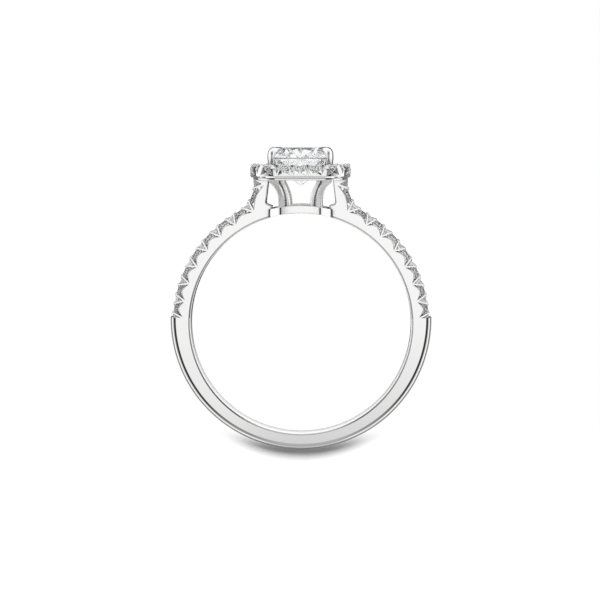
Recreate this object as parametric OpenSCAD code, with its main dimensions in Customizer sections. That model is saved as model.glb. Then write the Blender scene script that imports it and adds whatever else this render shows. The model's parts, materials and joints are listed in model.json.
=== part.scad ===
// Diamond engagement ring: a cushion-cut centre stone in four claws, a halo of round stones
// round it, and a band whose shoulders carry a row of round stones each and sweep up to the halo.
// The ring lies on its side, resting on the edge of the halo and the back of the band.
// It is drawn upright, finger axis along Z and head towards +Y, and laid down at the end.

/* [Finger hole and band] */
// Inside diameter of the ring
finger_d = 16.9; // [16.8:0.05:17]
// Width of the band along the finger
band_w = 1.8; // [1.75:0.05:1.9]
// Outside diameter of the polished lower band
shank_d = 20; // [19.9:0.05:20.1]
// Shift of the band's outside towards the head, which thins the back of the ring
shank_shift = 0.3; // [0.2:0.05:0.35]
// Rounding of the outer edges of the polished band
shank_edge_r = 0.35; // [0.25:0.05:0.4]
// Rounding of the edges of the finger hole
bore_edge_r = 0.12; // [0.08:0.01:0.14]

/* [Shoulders] */
// Radius of the row of bead tips about the finger hole
crest_r = 9.9; // [9.85:0.01:9.93]
// Angle above the middle of the ring where the row turns up towards the halo
sweep_start = 60; // [59:0.5:61]
// Radius of that upward sweep
sweep_r = 2.6; // [2.55:0.05:2.7]
// Distance between neighbouring posts along the row
post_pitch = 1.527; // [1.51:0.005:1.54]
// How much closer the posts stand near both ends of the row
post_ease = 0.12; // [0:0.01:0.14]
// Diameter of a shoulder stone
side_stone_d = 1.32; // [1.28:0.01:1.34]

/* [Halo] */
// Distance from the head's axis to the row of halo stones
halo_half = 3.15; // [3.12:0.01:3.17]
// Corner radius of that row
halo_corner_r = 1.4; // [1.35:0.05:1.45]
// Diameter of a halo stone
halo_stone_d = 1.05; // [1:0.01:1.07]
// Height of the halo's underside above the finger hole's centre
halo_base = 11; // [10.98:0.01:11.05]

/* [Centre stone and claws] */
// Half the width of the centre stone
centre_half = 2.45; // [2.4:0.01:2.47]
// Squareness of its outline: 2 is round, higher is squarer
centre_power = 4.6; // [4.4:0.1:4.8]
// Height of its table above the finger hole's centre
table_top = 13.45; // [13.4:0.01:13.47]
// Height of its point above the finger hole's centre
culet = 10.48; // [10.4:0.02:10.6]
// Radius of a claw's post
claw_r = 0.33; // [0.3:0.01:0.35]

/* [Base ring and legs] */
// Half the width of the cushion-shaped ring under the head
base_half = 2.42; // [2.4:0.01:2.45]
// Height of its top edge above the finger hole's wall
base_h = 0.66; // [0.6:0.02:0.7]

/* [Hidden] */
$fn = 48;

// Clearance between a stone and the metal that holds it
gap = 0.015;

// Rows of stones: how many, and their node names
side_stones = 8;
stones_per_side = 5;
halo_sides = 4;
halo_stones = stones_per_side * halo_sides;
left_names = [for (i = [1 : side_stones]) str("left_shoulder_stone_", i)];
right_names = [for (i = [1 : side_stones]) str("right_shoulder_stone_", i)];
halo_names = [for (i = [1 : halo_stones]) str("halo_stone_", i)];

// Finger hole and polished band
bore_r = finger_d / 2;
shank_r = shank_d / 2;
half_w = band_w / 2;

// Round brilliant stones, as shares of the diameter
table_share = 0.55;
crown_share = 0.155;
girdle_share = 0.025;
pavilion_share = 0.4;
star_share = 0.76;
pavilion_mid_share = 0.24;
brilliant_mains = 8;
round_power = 2;
round_rim_steps = 2;

// Fishtail setting of the shoulders, as depths below the bead tips
first_post = 0.484;
top_post_extra = 0.28;
side_stone_r = side_stone_d / 2;
side_girdle = 0.304;
side_cup = 0.79;
side_peak = 0.45;
side_v = 0.6;
side_v_reach = 0.32;
side_dip = 0.16;
side_spread = 0.39;
arm_t = 0.14;
cup_half = 0.11;
side_bead_r = 0.13;
side_bead_w = 0.66;
root_s = -0.3;
root_angle = -2;
bore_stock = 0.25;
shoulder_inside_r = bore_r - bore_stock;
sweep_from = crest_r * sweep_start * PI / 180;
sweep_centre_r = crest_r + sweep_r;

// Cathedral: inner edge of each shoulder beside the head, from the halo down to the base ring
wall_top_u = 2.43;
wall_low_u = 2.64;
wall_low_v = 9.3;
wall_turn_u = 2.59;
wall_turn_v = 9.17;
wall_foot_v = 9.02;
wall_outer_u = 3.6;
wall_top_d = 0.1;
wall_angle = 74;

// Halo, as heights above the halo's underside
halo_stone_r = halo_stone_d / 2;
halo_straight = halo_half - halo_corner_r;
halo_row = 8 * halo_straight + 2 * PI * halo_corner_r;
halo_pitch = halo_row / halo_stones;
halo_out = 0.66;
halo_in = 0.6;
rail_out = 0.42;
rail_in = 1.1;
rail_h = 0.17;
halo_step_out = 0.49;
halo_flare_out = 0.59;
halo_top_out = 0.51;
halo_girdle = 0.91;
halo_top = 1.16;
halo_cup = 0.37;
halo_cup_half = 0.07;
halo_peak = 0.6;
halo_v = 0.72;
halo_spread = 0.2875;
halo_flare_low = 0.3;
halo_flare_top = 0.55;
halo_shoulder = 0.85;
halo_bead_r = 0.1;
halo_bead_out = 0.5;
inner_bead_r = 0.12;
inner_bead_in = 0.46;

// Centre stone and claws
centre_table_share = 0.6;
centre_star_share = 0.8;
centre_mid_share = 0.5;
centre_rim_steps = 4;
centre_crown_h = 0.77;
centre_girdle_h = 0.07;
centre_girdle_top = table_top - centre_crown_h;
centre_girdle_low = centre_girdle_top - centre_girdle_h;
centre_corner = rim(45, centre_power) * centre_half;
claw_top = table_top + 0.05;
claw_out = centre_corner + 0.48;
claw_axis = claw_out - claw_r;
claw_shoulder_r = 0.5;
claw_round_r = claw_r - 0.01;
claw_tip_x = 2.2;
claw_tip_r = 0.13;
claw_under_slope = 0.6;
claw_foot = halo_base + 0.05;

// Base ring and legs
base_corner_r = 0.88;
base_wall = 0.5;
base_lift = 0.05;
leg_w_in = 1.95;
leg_w_out = 2.38;
strut_w_in = 2;
strut_w_out = 2.3;
leg_foot_v = 8.6;
leg_start_v = 9.1;
leg_rise = 1.72;
leg_steps = 8;
leg_outer_u = 1.65;
leg_outer_lean = 0.71;
leg_outer_power = 3.3;
leg_inner_u = 1.02;
leg_inner_lean = 0.48;
leg_inner_power = 2.5;
strut_inner_u = 0.72;
strut_inner_lean = 0.48;
strut_inner_power = 2;
strut_t = 0.34;

// Rest: the ring tips until the halo's side and the back of the band both touch the surface
rest_halo_w = halo_half + halo_out;
rest_halo_v = halo_base + halo_flare_top;
rest_band_v = shank_r - shank_edge_r - shank_shift;
rest_band_w = half_w - shank_edge_r;
rest_run = norm([rest_halo_v + rest_band_v, rest_halo_w - rest_band_w]);
rest_tilt = atan2(rest_halo_w - rest_band_w, rest_halo_v + rest_band_v) - asin(shank_edge_r / rest_run);
rest_lift = rest_halo_w * cos(rest_tilt) - rest_halo_v * sin(rest_tilt);

// Reach of the laid ring both ways along Y, which centres it on the origin
claw_side = (claw_axis - claw_shoulder_r + claw_r) * sin(45);
head_reach = claw_top * cos(rest_tilt) + claw_side * sin(rest_tilt);
back_reach = rest_band_v * cos(rest_tilt) + rest_band_w * sin(rest_tilt) + shank_edge_r;
rest_shift = (back_reach - head_reach) / 2;

// Radius of a unit outline at an angle: a circle at power 2, a cushion above it
function rim(angle, power) = pow(pow(abs(cos(angle)), power) + pow(abs(sin(angle)), power), -1 / power);

// A point at an angle, at a share of a stone's outline, and at a height
function rim_point(angle, size, share, power, z) =
    let (r = size * share * rim(angle, power)) [r * cos(angle), r * sin(angle), z];

// Height on the straight line between two rings of a stone, for a point between their main angles
function between(r, r1, z1, r2, z2) = z1 + (z2 - z1) * (r * cos(22.5) - r1) / (r2 - r1);

// Where a shoulder's row of bead tips runs: s along the row, d in from it
function on_sweep(s) = s > sweep_from;
function sweep_turn(s) = (s - sweep_from) / sweep_r * 180 / PI;
function crest_normal(s) = on_sweep(s) ? sweep_start - sweep_turn(s) : s / crest_r * 180 / PI;
function polar(r, angle) = [r * cos(angle), r * sin(angle)];
function crest(s, d) = on_sweep(s)
    ? polar(sweep_centre_r, sweep_start) - polar(sweep_r + d, sweep_start - sweep_turn(s))
    : polar(crest_r - d, crest_normal(s));

// Posts stand a little closer at both ends of the row, and the top one a little apart. A stone
// sits midway between two posts
function post_s(k) = first_post + post_pitch * k - post_ease * sin(360 * k / side_stones)
    + (k == side_stones ? top_post_extra : 0);
function side_stone_s(k) = (post_s(k) + post_s(k + 1)) / 2;

// Where the halo's row runs along one side: s from the middle of the side
function halo_turn(s) = max(abs(s) - halo_straight, 0) / halo_corner_r * 180 / PI;
function halo_x(s) = sign(s) * (min(abs(s), halo_straight) + halo_corner_r * sin(halo_turn(s)));
function halo_y(s) = halo_half - halo_corner_r + halo_corner_r * cos(halo_turn(s));

// Edge of a leg, stepped up its rise: it leans out more and more by the power
function leg_edge(low, lean, power) = [
    for (i = [0 : leg_steps]) let (share = i / leg_steps)
        [low + lean * pow(share, power), leg_start_v + leg_rise * share]
];
function turned_back(list) = [for (i = [len(list) - 1 : -1 : 0]) list[i]];

// One side of a fishtail cell: the outer arm of post k, its notch and the peak to the next post
function cell(k) = [
    crest(post_s(k), side_dip),
    crest(post_s(k) + side_spread - arm_t / 2, 0),
    crest(post_s(k) + side_spread + arm_t / 2, 0),
    crest(post_s(k) + cup_half, side_cup),
    crest(side_stone_s(k), side_peak),
    crest(post_s(k + 1) - cup_half, side_cup),
    crest(post_s(k + 1) - side_spread - arm_t / 2, 0),
    crest(post_s(k + 1) - side_spread + arm_t / 2, 0)
];

// Rounded square, drawn flat
module rounded_square(half, r) {
    square([2 * half, 2 * (half - r)], center = true);
    square([2 * (half - r), 2 * half], center = true);
    for (x = [-1, 1], y = [-1, 1]) translate([x * (half - r), y * (half - r)]) circle(r);
}

// Faceted stone, table up, its widest line at the height 0: mains, stars, girdle and pavilion
module cut_stone(size, power, table, star, crown_h, girdle_h, pavilion_h, mid, rim_steps) {
    n = brilliant_mains;
    step = 360 / n;
    m = n * rim_steps;
    star_z = between(star, table, crown_h, 1, 0);
    mid_z = -girdle_h - pavilion_h * (1 - mid * cos(step / 2));
    points = concat(
        [for (i = [0 : n - 1]) rim_point(i * step, size, table, power, crown_h)],
        [for (i = [0 : n - 1]) rim_point((i + 0.5) * step, size, star, power, star_z)],
        [for (i = [0 : m - 1]) rim_point(i * 360 / m, size, 1, power, 0)],
        [for (i = [0 : m - 1]) rim_point(i * 360 / m, size, 1, power, -girdle_h)],
        [for (i = [0 : n - 1]) rim_point((i + 0.5) * step, size, mid, power, mid_z)],
        [[0, 0, -girdle_h - pavilion_h]]
    );
    stars = n;
    upper = 2 * n;
    lower = upper + m;
    mids = lower + m;
    tip = mids + n;
    faces = concat(
        [[for (i = [n - 1 : -1 : 0]) i]],
        [for (i = [0 : n - 1]) [i, (i + 1) % n, stars + i]],
        [for (i = [0 : n - 1]) [i, stars + i, upper + i * rim_steps]],
        [for (i = [0 : n - 1]) [(i + 1) % n, upper + (i + 1) % n * rim_steps, stars + i]],
        [for (i = [0 : m - 1]) [stars + floor(i / rim_steps), upper + (i + 1) % m, upper + i]],
        [for (i = [0 : m - 1]) [upper + i, upper + (i + 1) % m, lower + i]],
        [for (i = [0 : m - 1]) [upper + (i + 1) % m, lower + (i + 1) % m, lower + i]],
        [for (i = [0 : m - 1]) [mids + floor(i / rim_steps), lower + i, lower + (i + 1) % m]],
        [for (i = [0 : n - 1]) [mids + i, lower + (i + 1) % n * rim_steps, tip]],
        [for (i = [0 : n - 1]) [mids + i, tip, lower + i * rim_steps]]
    );
    polyhedron(points, faces);
}

// Round brilliant of a given radius
module brilliant(r) {
    d = 2 * r;
    cut_stone(r, round_power, table_share, star_share, crown_share * d, girdle_share * d,
        pavilion_share * d, 2 * pavilion_mid_share, round_rim_steps);
}

// Seat drilled for a round brilliant: a straight hole above the girdle and a cone below it
module seat(r, above) {
    d = 2 * r;
    low = -girdle_share * d - gap;
    depth = pavilion_share * d;
    pit = r / 5;
    rotate_extrude() polygon([
        [0, above], [r + gap, above], [r + gap, low],
        [pit, low - gap - depth * (1 - pit / r)], [0, low - gap - depth * (1 - pit / r)]
    ]);
}

// Puts its children on a shoulder's row at s, d in from the bead tips, their height outwards
module on_crest(s, d) {
    place = crest(s, d);
    translate([place[0], place[1], 0]) rotate([0, 0, crest_normal(s)]) rotate([0, 90, 0]) children();
}

// Puts its children on the halo's row: a side, s along it and a height, +Y pointing outwards
module on_halo(side, s, z) {
    rotate([0, 0, 90 * side]) translate([halo_x(s), halo_y(s), z])
        rotate([0, 0, -sign(s) * halo_turn(s)]) children();
}

// Turns a thing drawn round +Z to stand on the band, towards +Y
module to_head() { rotate([-90, 0, 0]) children(); }

// Polished lower band: a disc with rounded outer edges, cut off where the stones begin
module shank() {
    flat_r = shank_r - shank_edge_r;
    end = polar(2 * shank_r, crest_normal(first_post));
    difference() {
        translate([0, shank_shift, 0]) rotate_extrude() difference() {
            union() {
                translate([0, -half_w]) square([flat_r, band_w]);
                translate([0, -half_w + shank_edge_r]) square([shank_r, band_w - 2 * shank_edge_r]);
                for (y = [-1, 1]) translate([flat_r, y * (half_w - shank_edge_r)]) circle(shank_edge_r);
            }
            translate([-shank_r, -band_w]) square([shank_r, 2 * band_w]);
        }
        linear_extrude(2 * band_w, center = true) polygon([
            [0, 0], end, [end[0], 2 * shank_r], [-end[0], 2 * shank_r], [-end[0], end[1]]
        ]);
    }
}

// One shoulder, on the +X side: a flat plate whose outer edge is the fishtail setting
module shoulder() {
    top = post_s(side_stones);
    outline = concat(
        [polar(shoulder_inside_r, root_angle), crest(root_s, side_peak)],
        [for (k = [0 : side_stones - 1]) each cell(k)],
        [
            crest(top - side_spread + arm_t, wall_top_d), [wall_outer_u, halo_base + rail_h / 2],
            [wall_top_u, halo_base + rail_h / 2], [wall_low_u, wall_low_v],
            [wall_turn_u, wall_turn_v], [base_half - base_wall / 2, wall_foot_v]
        ],
        [for (a = [wall_angle : -4 : root_angle + 4]) polar(shoulder_inside_r, a)]
    );
    linear_extrude(band_w, center = true) polygon(outline);
    for (k = [0 : side_stones], side = [-1, 1], w = [-1, 1])
        if ((k > 0 || side > 0) && (k < side_stones || side < 0))
            translate([0, 0, w * side_bead_w]) on_crest(post_s(k) + side * side_spread, side_bead_r)
                sphere(side_bead_r);
}

// Cuts of one shoulder: the stones' seats, and the V between the two arms of each post
module shoulder_cuts() {
    v_top = side_spread - arm_t / 2;
    for (k = [0 : side_stones - 1])
        on_crest(side_stone_s(k), side_girdle) seat(side_stone_r, 2 * side_girdle);
    for (k = [0 : side_stones - 1], side = [-1, 1])
        on_crest(post_s(k), 0) translate([side * half_w, 0, 0]) rotate([90, 0, 90])
            linear_extrude(2 * side_v_reach, center = true)
                polygon([[0, -side_v], [v_top, 0], [v_top, side_v], [-v_top, side_v], [-v_top, 0]]);
}

// Section of the halo wall: distance from the row and height above the underside
module halo_section() {
    polygon([
        [-halo_in, rail_h], [halo_step_out, rail_h], [halo_flare_out, halo_flare_low],
        [halo_out, halo_flare_top], [halo_out, halo_shoulder], [halo_top_out, halo_top],
        [-halo_in, halo_top]
    ]);
    translate([-rail_in, 0]) square([rail_in + rail_out, rail_h + 0.01]);
}

// Halo ring without its cuts: four straight sides and four turned corners
module halo_ring() {
    for (side = [0 : halo_sides - 1]) rotate([0, 0, 90 * side]) {
        translate([halo_straight, halo_half, halo_base]) rotate([90, 0, -90])
            linear_extrude(2 * halo_straight) mirror([1, 0]) halo_section();
        translate([halo_straight, halo_straight, halo_base])
            rotate_extrude(angle = 90) translate([halo_corner_r, 0]) halo_section();
    }
}

// Cuts of one halo stone: its seat, and the notches beside the peak under it
module halo_stone_cut(side, s) {
    half = halo_pitch / 2;
    on_halo(side, s, halo_base + halo_girdle) seat(halo_stone_r, halo_girdle);
    on_halo(side, s, halo_base) rotate([90, 0, 0]) linear_extrude(3 * halo_out, center = true) polygon([
        [-half + halo_cup_half, halo_cup], [0, halo_peak], [half - halo_cup_half, halo_cup],
        [half - halo_spread - arm_t / 2, halo_top + 0.1], [-half + halo_spread + arm_t / 2, halo_top + 0.1]
    ]);
}

// Cut between the two arms of a halo post, on its outer side only
module halo_post_cut(side, s) {
    top_half = halo_spread - arm_t / 2;
    on_halo(side, s, halo_base) rotate([-90, 0, 0]) linear_extrude(2 * halo_out) polygon([
        [0, -halo_v], [-top_half, -halo_top], [-top_half, -halo_top - 0.1],
        [top_half, -halo_top - 0.1], [top_half, -halo_top]
    ]);
}

// Halo frame with its seats, notches and beads
module halo_frame() {
    reach = (stones_per_side - 1) / 2;
    bead_s = halo_pitch / 2 - halo_spread;
    difference() {
        halo_ring();
        for (side = [0 : halo_sides - 1], i = [-reach : reach]) {
            halo_stone_cut(side, i * halo_pitch);
            halo_post_cut(side, (i + 0.5) * halo_pitch);
        }
    }
    for (side = [0 : halo_sides - 1], i = [-reach : reach]) {
        on_halo(side, i * halo_pitch, halo_base + halo_top) {
            for (x = [-1, 1]) translate([x * bead_s, halo_bead_out, -halo_bead_r]) sphere(halo_bead_r);
        }
        on_halo(side, (i + 0.5) * halo_pitch, halo_base + halo_top)
            translate([0, -inner_bead_in, -inner_bead_r]) sphere(inner_bead_r);
    }
}

// One claw on the +X diagonal: a round post with a notch for the girdle and a tip over the crown
module claw() {
    crown_slope = centre_crown_h / (centre_corner * (1 - centre_table_share));
    notch = centre_corner + 2 * gap;
    under = centre_girdle_top + 2 * gap;
    inside = claw_axis - 2 * claw_r;
    tip_x = claw_tip_x - claw_tip_r;
    shoulder = [claw_out - claw_shoulder_r, claw_top - claw_shoulder_r];
    side_view = concat(
        [[inside, claw_foot], [claw_out, claw_foot]],
        [for (a = [0 : 15 : 90]) shoulder + polar(claw_shoulder_r, a)],
        [[tip_x, claw_top], [tip_x, under + crown_slope * (notch - tip_x)], [notch, under]],
        [[notch, centre_girdle_low - 2 * gap]],
        [[inside, centre_girdle_low - (notch - inside) * claw_under_slope]]
    );
    intersection() {
        rotate([90, 0, 0]) linear_extrude(4 * claw_r, center = true) polygon(side_view);
        rotate([90, 0, 90]) linear_extrude(2 * claw_out) {
            translate([-claw_r, 0]) square([2 * claw_r, claw_top - claw_round_r]);
            translate([claw_round_r - claw_r, 0]) square([2 * (claw_r - claw_round_r), claw_top]);
            for (y = [-1, 1]) translate([y * (claw_r - claw_round_r), claw_top - claw_round_r])
                circle(claw_round_r);
        }
        linear_extrude(2 * claw_top) {
            translate([claw_axis, 0]) circle(claw_r);
            translate([claw_tip_x, 0]) circle(claw_tip_r);
            polygon([
                [claw_tip_x, -claw_tip_r], [claw_axis, -claw_r],
                [claw_axis, claw_r], [claw_tip_x, claw_tip_r]
            ]);
        }
    }
}

// Ring under the head: a cushion-shaped tube whose edges follow the finger hole
module base_ring() {
    tall = bore_r + 2 * base_h;
    difference() {
        intersection() {
            to_head() linear_extrude(tall) rounded_square(base_half, base_corner_r);
            cylinder(r = bore_r + base_h, h = 3 * base_half, center = true);
        }
        to_head() linear_extrude(tall) rounded_square(base_half - base_wall, base_corner_r - base_wall / 2);
        cylinder(r = bore_r + base_lift, h = 4 * base_half, center = true);
    }
}

// One leg and its inner strut, in the front right quarter, drawn in side view
module leg() {
    tops = halo_base + rail_h / 2;
    strut_outer_u = strut_inner_u + strut_t;
    translate([0, 0, leg_w_in]) linear_extrude(leg_w_out - leg_w_in) polygon(concat(
        [[leg_inner_u, leg_foot_v], [leg_outer_u, leg_foot_v]],
        leg_edge(leg_outer_u, leg_outer_lean, leg_outer_power),
        [[leg_outer_u + leg_outer_lean, tops], [leg_inner_u + leg_inner_lean, tops]],
        turned_back(leg_edge(leg_inner_u, leg_inner_lean, leg_inner_power))
    ));
    translate([0, 0, strut_w_in]) linear_extrude(strut_w_out - strut_w_in) polygon(concat(
        [[strut_inner_u, leg_foot_v], [strut_outer_u, leg_foot_v]],
        leg_edge(strut_outer_u, strut_inner_lean, strut_inner_power),
        [[strut_outer_u + strut_inner_lean, tops], [strut_inner_u + strut_inner_lean, tops]],
        turned_back(leg_edge(strut_inner_u, strut_inner_lean, strut_inner_power))
    ));
}

// Cutter for the finger hole through the band, flared at both ends by the edge rounding
module band_bore() {
    edge = half_w - bore_edge_r;
    flare = bore_r + bore_edge_r;
    rotate_extrude() difference() {
        union() {
            translate([0, -band_w]) square([bore_r, 2 * band_w]);
            for (y = [-1, 1]) translate([0, y > 0 ? edge : -edge - band_w]) square([flare, band_w]);
        }
        for (y = [-1, 1]) translate([flare, y * edge]) circle(bore_edge_r);
    }
}

// All the metal, soldered into one piece
module ring_metal() {
    difference() {
        union() {
            shank();
            for (side = [0, 1]) mirror([side, 0, 0]) shoulder();
        }
        for (side = [0, 1]) mirror([side, 0, 0]) shoulder_cuts();
        band_bore();
    }
    base_ring();
    for (x = [0, 1], z = [0, 1]) mirror([x, 0, 0]) mirror([0, 0, z]) leg();
    to_head() {
        halo_frame();
        for (side = [0 : halo_sides - 1]) rotate([0, 0, 45 + 90 * side]) claw();
    }
}

// Lays the ring on its side, on the surface at Z = 0
module laid() {
    translate([0, rest_shift, rest_lift]) rotate([rest_tilt, 0, 0]) children();
}

module ring_mount() {
    color("silver") laid() ring_metal();
}

module centre_stone() {
    color("aliceblue") laid() to_head() translate([0, 0, centre_girdle_top])
        cut_stone(centre_half, centre_power, centre_table_share, centre_star_share, centre_crown_h,
            centre_girdle_h, centre_girdle_low - culet, centre_mid_share, centre_rim_steps);
}

// Halo stone by its place in the row, counted round from the first side
module halo_stone(i) {
    place = i % stones_per_side - (stones_per_side - 1) / 2;
    color("azure") laid() to_head()
        on_halo(floor(i / stones_per_side), place * halo_pitch, halo_base + halo_girdle)
            brilliant(halo_stone_r);
}

// Shoulder stone by its place in the row, counted up from the band
module shoulder_stone(i) {
    on_crest(side_stone_s(i), side_girdle) brilliant(side_stone_r);
}

module left_shoulder_stone(i) {
    color("azure") laid() mirror([1, 0, 0]) shoulder_stone(i);
}

module right_shoulder_stone(i) {
    color("azure") laid() shoulder_stone(i);
}

ring_mount();
centre_stone();
for (i = [0 : halo_stones - 1]) halo_stone(i);
for (i = [0 : side_stones - 1]) left_shoulder_stone(i);
for (i = [0 : side_stones - 1]) right_shoulder_stone(i);
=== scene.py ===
"""Looks of a diamond engagement ring: a cushion-cut stone in a halo, on a band with stone-set shoulders.

The shapes are worked out for the ring standing upright, in millimetres: U across the head, V from the
finger hole's centre towards the head, and W along the finger. Pose turns them into the frame's metres.
"""

import json
import logging
import math
from dataclasses import dataclass, field
from enum import Enum, IntEnum
from typing import Mapping, Sequence

import bmesh
import bpy
from mathutils import Matrix, Vector


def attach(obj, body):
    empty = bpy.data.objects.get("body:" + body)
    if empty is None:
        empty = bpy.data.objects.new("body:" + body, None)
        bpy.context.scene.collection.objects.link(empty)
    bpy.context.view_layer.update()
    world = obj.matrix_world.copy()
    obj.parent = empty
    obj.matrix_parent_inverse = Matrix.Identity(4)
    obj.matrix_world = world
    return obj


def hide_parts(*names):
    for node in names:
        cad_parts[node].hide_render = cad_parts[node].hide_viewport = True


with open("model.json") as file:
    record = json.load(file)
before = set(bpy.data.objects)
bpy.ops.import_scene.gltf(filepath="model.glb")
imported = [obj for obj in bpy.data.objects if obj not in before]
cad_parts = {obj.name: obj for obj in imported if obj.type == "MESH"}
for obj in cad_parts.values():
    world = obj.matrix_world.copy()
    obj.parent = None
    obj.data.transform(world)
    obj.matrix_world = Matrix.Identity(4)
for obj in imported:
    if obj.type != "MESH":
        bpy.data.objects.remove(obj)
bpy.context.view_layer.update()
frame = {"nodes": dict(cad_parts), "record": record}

log = logging.getLogger("ring")

Flat = tuple[float, float]
Three = tuple[float, float, float]
Rings = Sequence[Sequence[Vector]]
Object = bpy.types.Object
Material = bpy.types.Material
Node = bpy.types.Node
Nodes = bpy.types.NodeTree
Socket = bpy.types.NodeSocket
Sockets = Mapping[str, Socket]

MM = 0.001
ROOT = "root"
METAL_NODE = "ring_mount"
CENTRE_NODE = "centre_stone"


class Slot(Enum):
    """The record's material slots."""

    METAL = "white_gold"
    CENTRE = "centre_diamond"
    SMALL = "small_diamond"


class Mark(IntEnum):
    """Which metal finish a face takes."""

    POLISHED = 0
    CUT = 1
    RECESS = 2
    GROOVE = 3
    PIT = 4
    CLAW = 5
    SATIN = 6


class Quarter(IntEnum):
    """Part of the surround, as the column of a tone that holds its brightness."""

    SIDE = 1
    NEAR = 2
    FRONT = 3
    REAR = 4


def polar(radius: float, degrees: float) -> Flat:
    """Gives the flat point at a radius and an angle."""
    return radius * math.cos(math.radians(degrees)), radius * math.sin(math.radians(degrees))


def steps(low: float, high: float, count: int) -> list[float]:
    """Gives count + 1 even steps from low to high."""
    return [low + (high - low) * i / count for i in range(count + 1)]


def grey(level: float) -> tuple[float, float, float, float]:
    """Gives a grey as a colour with full alpha."""
    return level, level, level, 1.0


def placed(name: str, data: bpy.types.ID) -> Object:
    """Puts a mesh, light or camera into the scene.

    Args:
        name: Name of its object.
        data: The mesh, light or camera.

    Returns:
        The object.
    """
    made = bpy.data.objects.new(name, data)
    bpy.context.scene.collection.objects.link(made)
    return made


def rounded(corners: Sequence[Three], arc_steps: int = 4) -> list[Flat]:
    """Rounds each corner of a closed outline.

    Args:
        corners: The place and the rounding radius of each corner, in order.
        arc_steps: Segments of each rounded corner.

    Returns:
        The outline with arc_steps + 1 points in place of each corner.
    """
    least_tangent, side_share, flattening = 1e-3, 0.49, 0.18
    result: list[Flat] = []
    for i, (*corner, radius) in enumerate(corners):
        here = Vector(corner)
        back = Vector(corners[i - 1][:2]) - here
        ahead = Vector(corners[(i + 1) % len(corners)][:2]) - here
        tangent = max(math.tan(back.angle(ahead, math.pi) / 2), least_tangent)
        reach = min(radius / tangent, side_share * back.length, side_share * ahead.length)
        start = here + back.normalized() * reach
        end = here + ahead.normalized() * reach
        for t in steps(0, 1, arc_steps):
            bend = start * (1 - t) ** 2 + here * (2 * t * (1 - t)) + end * t ** 2
            result.append(tuple(bend.lerp(start.lerp(end, t), flattening)))
    return result


@dataclass(frozen=True)
class Edge:
    """How an edge is softened: its size, and its line from the face to the side as shares of that size."""

    size: float
    line: tuple[Flat, ...]

    @classmethod
    def rounded(cls, size: float, arc_steps: int = 4) -> "Edge":
        """Gives a rounded edge."""
        turns = [math.radians(a) for a in steps(90, 0, arc_steps)]
        return cls(size, tuple((1 - math.cos(t), 1 - math.sin(t)) for t in turns))

    @classmethod
    def chamfered(cls, size: float) -> "Edge":
        """Gives a flat, shallow chamfer with softened ends."""
        return cls(size, ((1.0, 0.0), (0.92, 0.015), (0.3, 0.255), (0.08, 0.42), (0.0, 0.8)))


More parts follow.
